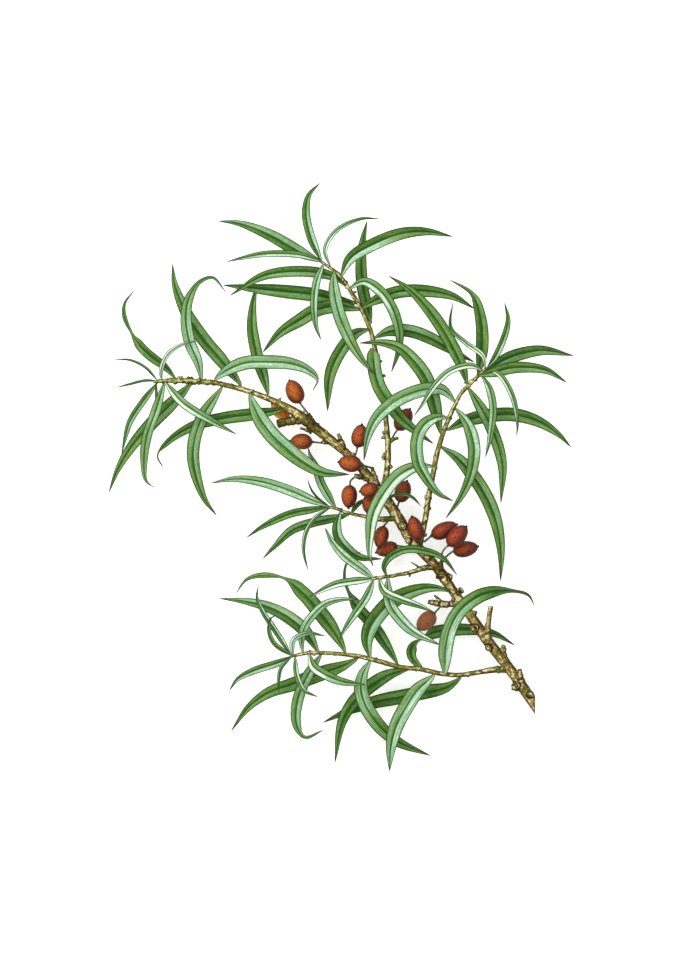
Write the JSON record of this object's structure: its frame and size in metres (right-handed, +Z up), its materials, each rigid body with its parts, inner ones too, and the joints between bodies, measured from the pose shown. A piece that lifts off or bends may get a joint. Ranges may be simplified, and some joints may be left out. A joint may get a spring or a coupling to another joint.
{
  "type": "sea buckthorn sprig",
  "caption": "Cut sprig of sea buckthorn lying down: woody stem with side shoots, long narrow curved leaves and small egg-shaped orange berries on short stalks.",
  "frame": {"origin": "on the supporting surface, below the middle of the sprig's bounding box", "axes": "+Y away from the cut end of the stem, along the sprig's longest way across; +X to the right when the sprig is looked down on; +Z up from the surface"},
  "size_m": [0.1856, 0.2352, 0.0323],
  "materials": {
    "bark": "rough ochre-brown bark, matte",
    "twig": "smooth yellow-green to ochre young bark, matte",
    "leaf": "mid to dark green with a paler bluish half, satin",
    "young_leaf": "pale bluish green with darker midrib, satin",
    "berry": "orange-brown to deep red-brown skin with fine dark dots, soft gloss"
  },
  "bodies": {
    "root": {"main_stem": "bark", "top_shoot": "twig", "right_shoot": "twig", "mid_left_shoot": "twig", "middle_shoot": "twig", "lower_left_shoot": "bark", "left_tip_leaves": "young_leaf", "top_tip_leaves": "young_leaf", "right_tip_leaves": "young_leaf", "mid_left_tip_leaves": "young_leaf", "middle_tip_leaves": "young_leaf", "lower_left_tip_leaves": "young_leaf", "leaf_left_1": "leaf", "leaf_left_2": "leaf", "leaf_left_3": "leaf", "leaf_left_4": "leaf", "leaf_left_5": "leaf", "leaf_left_6": "leaf", "leaf_top_1": "leaf", "leaf_top_2": "leaf", "leaf_top_3": "leaf", "leaf_top_4": "leaf", "leaf_top_5": "leaf", "leaf_top_6": "leaf", "leaf_top_7": "leaf", "leaf_right_1": "leaf", "leaf_right_2": "leaf", "leaf_right_3": "leaf", "leaf_right_4": "leaf", "leaf_right_5": "leaf", "leaf_right_6": "leaf", "leaf_right_7": "leaf", "leaf_lower_1": "leaf", "leaf_lower_2": "leaf", "leaf_lower_3": "leaf", "leaf_lower_4": "leaf", "leaf_lower_5": "leaf", "leaf_lower_6": "leaf", "leaf_lower_7": "leaf", "leaf_lower_8": "leaf", "leaf_lower_9": "leaf", "leaf_lower_10": "leaf", "leaf_main_1": "leaf", "berry_01": "berry", "berry_02": "berry", "berry_03": "berry", "berry_04": "berry", "berry_05": "berry", "berry_06": "berry", "berry_07": "berry", "berry_08": "berry", "berry_09": "berry", "berry_10": "berry", "berry_11": "berry", "berry_12": "berry", "berry_13": "berry", "berry_14": "berry", "berry_15": "berry", "berry_16": "berry", "berry_17": "berry"}
  },
  "joints": []
}
